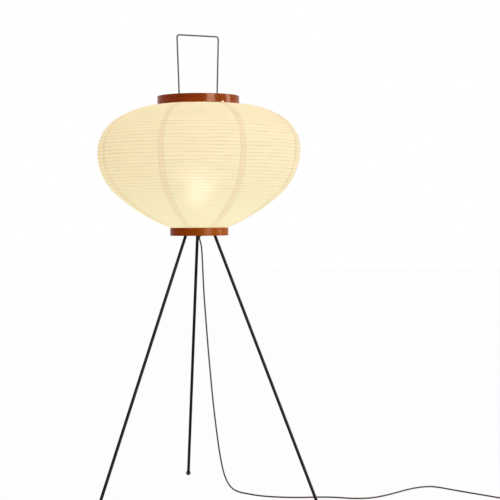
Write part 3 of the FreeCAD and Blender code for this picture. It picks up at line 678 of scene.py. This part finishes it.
@dataclass
class Studio:
    """Pale floor, soft lights and the camera.

    Attributes:
        eye: Where the camera stands.
        heading: How far it looks to the right of +Y, in degrees.
        tilt: How far it looks below the horizon, in degrees.
        roll: How far it leans, in degrees.
        lens: Focal length on the sensor's width.
        sensor: Width of the sensor.
        sight: How far the camera sees.
        ambient: Strength of the light from all round.
        ambient_tint: Colour of that light.
        floor_size: Length of the floor's sides.
        floor_grey: How pale it is under light.
        floor_white: Share of plain white where it is seen, which leaves the rest to shadow.
        aim_height: Height on the lamp's axis that the lights face.
        boxes: The lights.
    """

    eye: Point = (-406.4, -3577.0, 745.3)
    heading: float = 8.6
    tilt: float = 1.446
    roll: float = -0.38
    lens: float = 98.461
    sensor: float = 36.0
    sight: float = 100000.0
    ambient: float = 0.72
    ambient_tint: Point = (1.0, 0.99, 0.97)
    floor_size: float = 30000.0
    floor_grey: float = 0.93
    floor_white: float = 0.95
    aim_height: float = 850.0
    boxes: tuple[SoftBox, ...] = (
        SoftBox("window", 52.0, 3200.0, 1000.0, (2000.0, 2200.0), 9.0, (0.4, 0.66, 1.0)),
        SoftBox("overhead", 0.0, 1400.0, 2900.0, (2600.0, 2600.0), 7.0),
        SoftBox("strip", 28.0, 2600.0, 1100.0, (1050.0, 2300.0), 190.0, streaks_only=True),
        SoftBox("far_strip", 83.5, 2600.0, 1100.0, (620.0, 2300.0), 75.0, streaks_only=True),
    )

    def build(self) -> None:
        """Sets up the camera, the world, the floor and the lights."""
        self._camera()
        self._world()
        self._floor()
        for box in self.boxes:
            box.hang(self.aim_height)
        bpy.context.scene.view_settings.view_transform = "Standard"

    def _camera(self) -> None:
        """Places the camera at the photograph's viewing angle."""
        data = bpy.data.cameras.new("camera")
        data.lens = self.lens
        data.sensor_width = self.sensor
        data.clip_end = self.sight * MM
        camera = placed("camera", data)
        aim = Matrix.Rotation(-math.radians(self.heading), 4, "Z")
        lift = Matrix.Rotation(math.radians(90.0 - self.tilt), 4, "X")
        lean = Matrix.Rotation(math.radians(self.roll), 4, "Z")
        camera.matrix_world = Matrix.Translation(Vector(self.eye) * MM) @ aim @ lift @ lean
        bpy.context.scene.camera = camera

    def _world(self) -> None:
        """Lights everything softly, and shows plain white where it is seen or mirrored."""
        world = bpy.data.worlds.new("studio")
        tree = emptied(world)
        light_inputs = {"Color": (*self.ambient_tint, 1.0), "Strength": self.ambient}
        light = add_node(tree, "Background", light_inputs)
        white = add_node(tree, "Background", {"Color": WHITE})
        shares = {0: self._seen(tree), 1: light, 2: white}
        both = add_node(tree, "MixShader", shares)
        add_node(tree, "OutputWorld", {"Surface": both})
        bpy.context.scene.world = world

    @staticmethod
    def _seen(tree: NodeTree) -> Node:
        """Adds a switch that is 1 for what is seen, mirrored or seen through glass."""
        path = add_node(tree, "LightPath")
        seen = path.outputs["Is Camera Ray"]
        for other in ("Is Glossy Ray", "Is Transmission Ray"):
            either = {0: seen, 1: path.outputs[other]}
            seen = add_node(tree, "Math", either, operation="MAXIMUM")
        return seen

    def _floor(self) -> None:
        """Lays a white floor that keeps a soft shadow."""
        plane = bpy.ops.mesh.primitive_plane_add
        floor = started("studio_floor", plane, size=self.floor_size * MM)
        material = bpy.data.materials.new("studio_floor")
        tree = emptied(material)
        pale = add_node(tree, "BsdfDiffuse", {"Color": (*[self.floor_grey] * 3, 1.0)})
        white = add_node(tree, "Emission", {"Color": WHITE})
        seen = {0: self._seen(tree), 1: self.floor_white}
        share = add_node(tree, "Math", seen, operation="MULTIPLY")
        shares = {0: share, 1: pale, 2: white}
        both = add_node(tree, "MixShader", shares)
        add_node(tree, "OutputMaterial", {"Surface": both})
        floor.data.materials.append(material)


# ------------------------ cord, switch and plug
@dataclass
class TrailingCord:
    """The brown cord: down from the hub, over the floor to its coil, then switch and plug.

    Attributes:
        radius: Of the sheath.
        gland_tip: Height at which it leaves the gland.
        floor_z: Height of its middle where it lies on the floor.
        hang: Points from the gland to the floor, as in the model.
        floor_run: Points on the floor up to the coil.
        coil_middle: Where the coil lies.
        coil_steps: Points in a turn of the coil.
        coil_stages: Turn, radius and height over floor_z of the places that it winds through.
        tail: Points over the coil's edge, through the switch and on to the plug.
        boots: Where each boot stands and which way it points.
        tie_way: Direction in which the tie holds the coil, in degrees.
    """

    radius: float = 2.1
    gland_tip: float = 689.5
    floor_z: float = 2.2
    hang: tuple[Point, ...] = (
        (0.3, 0.0, 684.0), (4.2, 0.0, 672.0), (6.4, 0.2, 656.0), (7.6, 0.9, 628.0),
        (8.9, 1.6, 596.0), (11.4, 3.5, 540.0), (15.7, 6.3, 482.0), (20.1, 9.2, 424.0),
        (25.2, 12.2, 362.0), (30.6, 15.6, 302.0), (36.4, 19.3, 243.0), (43.2, 23.2, 186.0),
        (50.0, 26.6, 134.0), (57.2, 30.0, 90.0), (64.8, 33.8, 56.0), (76.5, 38.0, 27.0),
        (93.0, 40.5, 9.0),
    )  # fmt: skip
    floor_run: tuple[Place, ...] = (
        (112.0, 37.0), (127.0, 20.5), (142.0, -0.5), (166.5, -21.5), (205.0, -41.0),
        (256.0, -54.5), (312.0, -57.5), (350.0, -69.0), (380.0, -87.0), (411.0, -95.5),
        (445.0, -91.5), (482.0, -68.5), (522.0, -36.0), (564.0, 0.5), (603.0, 23.0),
        (634.0, 26.5), (655.0, 6.5), (676.0, -26.0), (706.0, -68.5), (740.0, -113.5),
        (764.0, -148.0), (785.0, -171.0), (814.0, -184.0), (845.0, -187.0),
    )  # fmt: skip
    coil_middle: Place = (868.0, -158.0)
    coil_steps: int = 16
    coil_stages: tuple[Point, ...] = (
        (0.0, 29.2, 0.9), (0.9, 29.2, 0.9), (1.1, 25.0, 0.9), (1.9, 25.0, 0.9),
        (2.1, 20.8, 0.9), (2.85, 20.8, 0.9), (3.1, 23.0, 4.6), (4.25, 26.5, 4.6),
    )  # fmt: skip
    tail: tuple[Point, ...] = (
        (894.6, -158.0, 6.8), (894.2, -147.0, 6.8), (893.6, -135.0, 6.5), (893.2, -124.0, 6.8),
        (893.0, -114.0, 7.5), (893.0, -104.0, 8.0), (893.0, -90.0, 8.0), (893.0, -42.0, 8.0),
        (893.0, -28.0, 8.0), (893.2, -17.0, 7.4), (893.9, -5.0, 4.4), (893.6, 8.0, 2.5),
        (891.2, 20.0, 3.4), (887.6, 31.0, 6.6), (886.0, 41.0, 8.0), (886.0, 54.0, 8.0),
    )  # fmt: skip
    boots: tuple[tuple[str, Point, Point], ...] = (
        ("switch_boot_in", (893.0, -96.0, 8.0), (0.0, -1.0, -0.02)),
        ("switch_boot_out", (893.0, -36.0, 8.0), (0.0, 1.0, -0.04)),
        ("plug_boot", (886.0, 50.0, 8.0), (0.02, -1.0, -0.05)),
    )
    tie_way: float = 165.0

    def build(self) -> None:
        on_floor = [(x, y, self.floor_z) for x, y in self.floor_run]
        points = [(0.0, 0.0, self.gland_tip), *self.hang, *on_floor, *self._coil(), *self.tail]
        points = [tuple(v * MM for v in point) for point in points]
        cord = drawn("trailing_cord", "NURBS", points, self.radius, 3)
        cord.data.resolution_u = 6
        spline = cord.data.splines[0]
        spline.order_u = 3
        spline.use_endpoint_u = True
        nodes = ("cord", "cord_coil", "switch_lead", "plug_lead")
        fitted(cord, PVC_SHEATH.material(), nodes)
        carried = ("switch_base", "switch_cover", "switch_rocker", "plug_body", "plug_blades")
        on_cord = [FRAME["nodes"][name] for name in carried]
        on_cord += self._boots()
        on_cord.append(self._tie())

    def _boots(self) -> list[Object]:
        """Moulds the grooved, tapered boots where the cord enters the switch and the plug.

        Returns:
            The three boots.
        """
        collar, first, pitch, taper, depth, length = 4.9, 3.0, 3.2, 0.34, 0.9, 20.2
        outline = [(self.radius, 0.0), (collar, 0.0), (collar - 0.1, 2.4)]
        for groove in range(5):
            height, wall = first + pitch * groove, collar - 0.2 - taper * groove
            outline += [(wall - depth, height), (wall - depth - 0.05, height + 1.2)]
            outline += [(wall, height + 1.7), (wall - 0.1, height + 3.0)]
        outline += [(2.9, length - 0.6), (2.6, length), (self.radius, length)]
        pattern = spun("boot_pattern", outline, 32)
        smooth(pattern, degrees=40.0)
        rubber = MOULDED_RUBBER.material()
        boots = []
        for name, place, heading in self.boots:
            turn = Vector(heading).to_track_quat("Z", "Y").to_matrix().to_4x4()
            move = Matrix.Translation(Vector(place) * MM) @ turn
            boots.append(fitted(copied(pattern, name, move), rubber))
        bpy.data.objects.remove(pattern)
        return boots

    def _tie(self) -> Object:
        """Closes a strap of woven hook tape round the coil."""
        half_across, half_up, width, thickness = 7.1, 4.6, 10.0, 0.8
        from_middle, height, steps, squareness = 25.0, 4.8, 40, 0.55
        circle = bpy.ops.mesh.primitive_circle_add
        tie = started("coil_tie", circle, vertices=steps, fill_type="NOTHING")
        for index, vertex in enumerate(tie.data.vertices):
            angle = math.tau * index / steps
            round_place = (math.cos(angle), math.sin(angle))
            across, up = (math.copysign(abs(v) ** squareness, v) for v in round_place)
            place = (from_middle + across * half_across, -width / 2, height + up * half_up)
            vertex.co = Vector(place) * MM
        with editing(tie):
            sideways = {"value": (0.0, width * MM, 0.0)}
            bpy.ops.mesh.extrude_region_move(TRANSFORM_OT_translate=sideways)
            bpy.ops.mesh.select_all(action="SELECT")
            bpy.ops.mesh.normals_make_consistent(inside=False)
        modify(tie, "SOLIDIFY", thickness=thickness * MM, offset=-1.0)
        modify(tie, "BEVEL", width=0.2 * MM, segments=2, limit_method="ANGLE")
        centre = Vector((*self.coil_middle, 0.0)) * MM
        turn = Matrix.Rotation(math.radians(self.tie_way), 4, "Z")
        tie.data.transform(Matrix.Translation(centre) @ turn)
        smooth(tie)
        return fitted(tie, WOVEN_TAPE.material())

    def _coil(self) -> list[Point]:
        """The coil's points: three turns on the floor, outside in, then one and a quarter on top.

        Returns:
            Control points, each a little outside the turn that it draws.
        """
        points = []
        for (start, *first), (end, *last) in zip(self.coil_stages, self.coil_stages[1:]):
            first_step = max(math.ceil(start * self.coil_steps), 1)
            for step in range(first_step, math.ceil(end * self.coil_steps)):
                turn = step / self.coil_steps
                share = (turn - start) / (end - start)
                radius, height = (a + (b - a) * share for a, b in zip(first, last))
                radius /= math.cos(math.pi / self.coil_steps) ** 0.5
                angle = math.tau * turn - math.pi / 2
                x = self.coil_middle[0] + radius * math.cos(angle)
                y = self.coil_middle[1] + radius * math.sin(angle)
                points.append((x, y, self.floor_z + height))
        return points


# ------------------------ shade
@dataclass(frozen=True)
class Bow:
    """A round stretch of the shade's half section.

    Attributes:
        centre: Radius and height of its centre.
        radius: Its own radius, below zero where it bends outwards.
        first: Angle at its start.
        sweep: Angle that it covers.
    """

    centre: Place
    radius: float
    first: float
    sweep: float

    @classmethod
    def leaving(cls, start: Place, heading: Place, end: Place) -> "Bow":
        """The stretch that leaves its start in a direction and reaches its end."""
        chord = (end[0] - start[0], end[1] - start[1])
        across = heading[0] * chord[1] - heading[1] * chord[0]
        radius = (chord[0] ** 2 + chord[1] ** 2) / (2 * across)
        centre = (start[0] - heading[1] * radius, start[1] + heading[0] * radius)
        first = math.atan2(start[1] - centre[1], start[0] - centre[0])
        last = math.atan2(end[1] - centre[1], end[0] - centre[0])
        sweep = (last - first + math.pi) % math.tau - math.pi
        return cls(centre, radius, first, sweep)

    @property
    def length(self) -> float:
        """How long the stretch is."""
        return abs(self.radius * self.sweep)

    def at(self, share: float, inset: float) -> Place:
        """Radius and height at a share of the way along, moved towards the shade's inside."""
        angle = self.first + self.sweep * share
        reach = abs(self.radius)
        reach += inset if self.radius > 0 else -inset
        return self.centre[0] + reach * math.cos(angle), self.centre[1] + reach * math.sin(angle)

    def heading(self, share: float) -> Place:
        """Direction of the run at a share of the way along."""
        angle = self.first + self.sweep * share
        side = math.copysign(1.0, self.radius)
        return -math.sin(angle) * side, math.cos(angle) * side


@dataclass(frozen=True)
class Ripple:
    """A smooth unevenness over the shade.

    Attributes:
        depth: Its strength.
        around: How fast it changes round the shade.
        wave: Run over which it changes.
        shift: Sets it apart from the other ripples.
    """

    depth: float
    around: float
    wave: float
    shift: float = 0.0

    def at(self, run: float, azimuth: float) -> float:
        """The unevenness at a place."""
        x, y = self.around * math.cos(azimuth), self.around * math.sin(azimuth)
        return self.depth * noise.noise(Vector((x, y, run / self.wave + self.shift)))


@dataclass
class LanternShade:
    """Eight gores of washi pasted over one long spiral of split bamboo.

    Attributes:
        belly: Radius and height of the widest place.
        shoulder: Of the place where the belly turns into the crown.
        hip: Of the place where it turns into the skirt.
        crown_edge: Of the paper's edge under the top hoop.
        skirt_edge: Of its edge on the bottom hoop.
        gores: How many pieces of paper.
        first_seam: Azimuth of the first seam, in degrees.
        pitch: Distance between the ribs.
        first_rib: Run from the crown's edge to the first rib.
        strays: How the ribs stray, in ribs.
        lean: How much fuller the fuller side is under the top hoop, and on the skirt.
        lean_way: Azimuth of the fuller side, in degrees.
        held: Run from the top and from the bottom over which a hoop keeps the paper round.
        sink: How far the paper is drawn in between two ribs.
        dents: How far it is dented here and there.
        skin: How far the paper's outer face lies inside the model's.
        paper: Thickness of the paper.
        paste: Thickness of the paste under a lap.
        laps: Width of a seam's lap at top, belly and bottom.
        lap_middle: How strongly a lap shows between its edges.
        lap_cover: How much of the ribs' shadows a lap hides.
        rib_inset: How far the rib's middle lies inside the model's outer face.
        rib_side: Thickness of the rib.
        dim_ribs: Ribs from a hoop whose painted shadows show least, and ribs over which they grow
            plainer.
        skirt_share: Rate of that from the bottom hoop, as a share of that from the top one.
        dimmest: Strength of the faintest painted rib shadows.
        patches: How unevenly a rib's painted shadow shows.
        rows: Faces down a gore.
        columns: Faces across a gore.
        lap_columns: Faces across a lap.
        folded: Height of the whole shade when it is folded flat. Not used.
        hoop_radius: Outer radius of the top hoop.
        tab: Width and height of the scrap of paper that laps over the top hoop.
        tab_way: Its azimuth, in degrees.
    """

    belly: Place = (266.5, 914.4)
    shoulder: Place = (218.1, 1001.4)
    hip: Place = (219.4, 804.7)
    crown_edge: Place = (102.75, 1036.35)
    skirt_edge: Place = (75.5, 714.15)
    gores: int = 8
    first_seam: float = 18.0
    pitch: float = 9.1
    first_rib: float = 4.0
    strays: tuple[Ripple, ...] = (Ripple(0.22, 1.4, 55.0), Ripple(0.12, 4.0, 9.0, 20.0))
    lean: Place = (10.0, -1.3)
    lean_way: float = -8.6
    held: Place = (40.0, 30.0)
    sink: float = 0.35
    dents: Ripple = Ripple(0.5, 5.0, 60.0)
    skin: float = 0.5
    paper: float = 0.25
    paste: float = 0.05
    laps: Point = (13.0, 16.5, 17.0)
    lap_middle: float = 0.65
    lap_cover: float = 0.35
    rib_inset: float = 1.55
    rib_side: float = 1.2
    dim_ribs: Place = (1.5, 8.0)
    skirt_share: float = 0.8
    dimmest: float = 0.15
    patches: Ripple = Ripple(0.8, 5.0, 10.1111, 7.0)
    rows: int = 224
    columns: int = 14
    lap_columns: int = 4
    folded: float = 29.4
    hoop_radius: float = 107.7
    tab: Place = (8.0, 4.2)
    tab_way: float = -61.0

    def __post_init__(self) -> None:
        """Works out the half section from the crown down to the skirt."""
        upper = Bow.leaving(self.belly, (0.0, 1.0), self.shoulder)
        crown = Bow.leaving(self.shoulder, upper.heading(1.0), self.crown_edge)
        lower = Bow.leaving(self.belly, (0.0, -1.0), self.hip)
        skirt = Bow.leaving(self.hip, lower.heading(1.0), self.skirt_edge)
        self.bows = [(crown, True), (upper, True), (lower, False), (skirt, False)]
        self.length = sum(bow.length for bow, _ in self.bows)

    def at(self, run: float, inset: float) -> Place:
        """Radius and height at a run from the crown's edge, moved inwards."""
        left = min(max(run, 0.0), self.length)
        for bow, backwards in self.bows:
            if left <= bow.length + 1e-6:
                break
            left -= bow.length
        share = min(left / bow.length, 1.0)
        if backwards:
            return bow.at(1.0 - share, -inset)
        return bow.at(share, inset)

    def drift(self, run: float, azimuth: float) -> float:
        """How far, in ribs, the hand-laid ribs stray from even spacing at a place."""
        return sum(stray.at(run, azimuth) for stray in self.strays)

    @staticmethod
    def _round(radius: float, azimuth: float, height: float) -> Vector:
        """The place, in metres, at this radius, azimuth and height."""
        return Vector((radius * math.cos(azimuth), radius * math.sin(azimuth), height)) * MM

    def on_surface(self, run: float, azimuth: float, inset: float) -> Vector:
        """A place on the shade, in metres: fuller on one side and flatter on the other.

        Args:
            run: Distance down the paper from the crown's edge.
            azimuth: Direction from the axis.
            inset: Distance inwards from the model's outer face.

        Returns:
            The place.
        """
        radius, height = self.at(run, inset)
        rise = (height - self.skirt_edge[1]) / (self.crown_edge[1] - self.skirt_edge[1])
        hold = min(run / self.held[0], (self.length - run) / self.held[1], 1.0)
        bulge = (self.lean[0] * rise**3 + self.lean[1]) * max(hold, 0.0)
        radius += bulge * math.cos(azimuth - math.radians(self.lean_way))
        return self._round(radius, azimuth, height)

    def shadow(self, run: float, azimuth: float) -> float:
        """How strongly a rib's painted shadow shows on the paper: less near the hoops, and unevenly
        along it.
        """
        count = min(run - self.first_rib, (self.length - run) * self.skirt_share) / self.pitch
        share = min(max((count - self.dim_ribs[0]) / self.dim_ribs[1], 0.0), 1.0)
        return (self.dimmest + (1.0 - self.dimmest) * share) * (1.0 + self.patches.at(run, azimuth))

    def build(self) -> None:
        """Makes the gores with their laps, and the ribs."""
        washi = WashiPaper().material()
        for number in range(1, self.gores + 1):
            gore = self._gore(number)
            fitted(gore, washi, (f"paper_panel_{number}",))
            self._fold(gore)
        self._paste_tab(washi)
        ribs = self._spiral()
        fitted(ribs, SPLIT_BAMBOO.material(), ("bamboo_ribs",))
        self._fold(ribs)

    def _fold(self, piece: Object) -> None:
        """Gives a soft piece a mesh of its own."""
        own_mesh(piece)

    def _gore(self, number: int) -> Object:
        """Makes one gore with the lap on its first edge.

        Args:
            number: Which gore, from 1.

        Returns:
            The piece.
        """
        turn = math.tau / self.gores
        start = math.radians(self.first_seam) + turn * (number - 1)
        gore = self._paper(
            f"washi_gore_{number}", self.columns, lambda u, run, r: start + turn * u, 0.0
        )
        lap = self._paper(
            f"lap_{number}",
            self.lap_columns,
            lambda u, run, r: start + (u - 0.5) * self._lap_width(run) / r,
            1.0,
        )
        take(gore, lap)
        bpy.ops.object.join()
        smooth(gore, degrees=60.0)
        return gore

    def _paste_tab(self, washi: Material) -> None:
        """Turns a scrap of pasted paper up over the top hoop's lower edge."""
        below, rounding, raggedness, gap = 0.3, 1.6, 0.35, 0.12
        grid = bpy.ops.mesh.primitive_grid_add
        tab = started("paste_tab", grid, x_subdivisions=10, y_subdivisions=6, size=1.0)
        for vertex in tab.data.vertices:
            across, up = vertex.co.x, vertex.co.y + 0.5
            ragged = raggedness * noise.noise(Vector((across * 4.0, up, 3.0)))
            rise = self.tab[1] * up * (1.0 - rounding * across**2 + ragged)
            angle = math.radians(self.tab_way) + across * self.tab[0] / self.hoop_radius
            height = self.crown_edge[1] - below + rise
            vertex.co = self._round(self.hoop_radius + gap, angle, height)
        modify(tab, "SOLIDIFY", thickness=self.paper * MM, offset=1.0)
        smooth(tab, degrees=60.0)
        fitted(tab, washi, body="top_ring_set")

    def _lap_width(self, run: float) -> float:
        """Width of a seam's lap at a run from the crown's edge."""
        top, middle, bottom = self.laps
        share = run / self.length * 2
        if share < 1:
            return top + (middle - top) * share
        return middle + (bottom - middle) * (share - 1)

    def _paper(
        self, name: str, columns: int, azimuth: Callable[[float, float, float], float], lap: float
    ) -> Object:
        """Bends a flat grid into a strip of the shade's paper.

        Args:
            name: The piece's name.
            columns: Faces across the strip.
            azimuth: Gives the azimuth from the share across, the run and the radius.
            lap: 1 for a lap on top of another gore, 0 for the gore itself.

        Returns:
            The piece, with its thickness.
        """
        grid = bpy.ops.mesh.primitive_grid_add
        piece = started(name, grid, x_subdivisions=columns, y_subdivisions=self.rows, size=1.0)
        ribs, laps, shadows = (
            piece.data.attributes.new(kind, "FLOAT", "POINT") for kind in ("rib", "lap", "shadow")
        )
        for index, vertex in enumerate(piece.data.vertices):
            u, run = vertex.co.x + 0.5, (0.5 - vertex.co.y) * self.length
            radius, _ = self.at(run, 0.0)
            angle = azimuth(u, run, radius)
            rib = (run - self.first_rib) / self.pitch - angle / math.tau
            rib += self.drift(run, angle)
            ends = min(run, self.length - run, self.pitch) / self.pitch
            sink = self.sink * ends * (0.5 - 0.5 * math.cos(math.tau * rib))
            dent = ends * max(self.dents.at(run, angle), 0.0)
            inset = self.skin + sink + dent - lap * (self.paper + self.paste)
            vertex.co = self.on_surface(run, angle, inset)
            ribs.data[index].value = rib
            laps.data[index].value = lap * (1.0 if u in (0.0, 1.0) else self.lap_middle)
            shadows.data[index].value = self.shadow(run, angle) * (1.0 - self.lap_cover * lap)
        modify(piece, "SOLIDIFY", thickness=self.paper * MM, offset=-1.0)
        return piece

    def _spiral(self) -> Object:
        """Winds one thin strip of bamboo from the crown to the skirt."""
        steps = 60
        turns = int((self.length - 2 * self.first_rib) / self.pitch)
        points = []
        for index in range(turns * steps + 1):
            turn = index / steps
            angle = math.tau * turn
            run = self.first_rib + self.pitch * turn
            # The drift depends on the run, so the two are brought together in rounds.
            for _ in range(3):
                run = self.first_rib + self.pitch * (turn - self.drift(run, angle))
            points.append(self.on_surface(run, angle, self.rib_inset))
        piece = drawn("bamboo_spiral", "POLY", points, self.rib_side / 2, 0)
        take(piece)
        bpy.ops.object.convert(target="MESH")
        smooth(piece, degrees=50.0)
        return piece


@dataclass
class BentHoop:
    """A bentwood hoop that holds an edge of the shade.

    Attributes:
        node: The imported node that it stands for, which also names it.
        radius: Of its outer face.
        low: Height of its lower edge.
        height: From lower to upper edge.
        wood: Its stain and varnish.
        body: The body that it rides on.
        wall: Thickness of the strip.
        edge: Radius of its softened edges.
        edge_steps: Faces across a softened edge.
        steps: Faces round the hoop.
    """

    node: str
    radius: float
    low: float
    height: float
    wood: VarnishedBentwood
    body: str
    wall: float = 5.0
    edge: float = 0.8
    edge_steps: int = 4
    steps: int = 144

    def build(self) -> None:
        """Makes the hoop with softened edges."""
        outer, inner = self.radius - self.edge, self.radius - self.wall + self.edge
        bottom, top = self.low + self.edge, self.low + self.height - self.edge
        outline = []
        corners = ((outer, bottom), (outer, top), (inner, top), (inner, bottom))
        for corner, (x, z) in enumerate(corners):
            for step in range(self.edge_steps + 1):
                angle = math.pi / 2 * (corner - 1 + step / self.edge_steps)
                outline.append((x + self.edge * math.cos(angle), z + self.edge * math.sin(angle)))
        hoop = spun(f"bent_{self.node}", outline, self.steps)
        smooth(hoop, degrees=40.0)
        fitted(hoop, self.wood.material(), (self.node,), self.body)


def main() -> None:
    """Builds the studio and then the lamp, piece by piece."""
    logging.basicConfig(level=logging.INFO, format="%(message)s")
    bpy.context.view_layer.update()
    Studio().build()
    TrailingCord().build()
    LanternShade().build()
    glossy = VarnishedBentwood(HoopTone.TOP)
    satin = VarnishedBentwood(HoopTone.BOTTOM, gloss=(0.26, 0.34), shine=0.06)
    BentHoop(
        "top_ring", radius=107.7, low=1036.4, height=22.0, wood=glossy, body="top_ring_set"
    ).build()
    BentHoop("bottom_ring", radius=76.6, low=693.5, height=20.6, wood=satin, body=LAMP).build()
    collars = ("upper_collars", "lower_collars")
    wires = ("wire_frame", *collars, "top_ring_wire_right", "top_ring_wire_left")
    sides = ("left", "right", "rear")
    enamelled = [f"{part}_{side}" for part in ("leg_sleeve", "leg_rod") for side in sides]
    finishes = {
        DRAWN_STEEL: wires,
        ZINC_PLATE: ("shade_bar", "bar_screws", "threaded_nipple", "lock_nut", "lock_washer"),
        STOVE_ENAMEL: ("hub_plate", *enamelled),
        MOULDED_RUBBER: (*(f"foot_{side}" for side in sides), "cord_gland"),
        PHENOLIC: ("holder_cap", "holder_shell"),
        GLAZED_STEATITE: ("holder_core",),
        ROLLED_BRASS: ("holder_screw_shell", "holder_tongue", "plug_blades"),
        SOLDER: ("bulb_button",),
        VITRITE: ("bulb_insulator",),
        NICKEL_PLATE: ("bulb_cap",),
        OPAL_GLASS: ("bulb_glass",),
        MOULDED_ABS: ("switch_base", "switch_cover", "plug_body"),
        POLISHED_ABS: ("switch_rocker",),
    }
    for finish, nodes in finishes.items():
        painted(nodes, finish.material())


if __name__ == "__main__":
    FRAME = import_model()
    main()
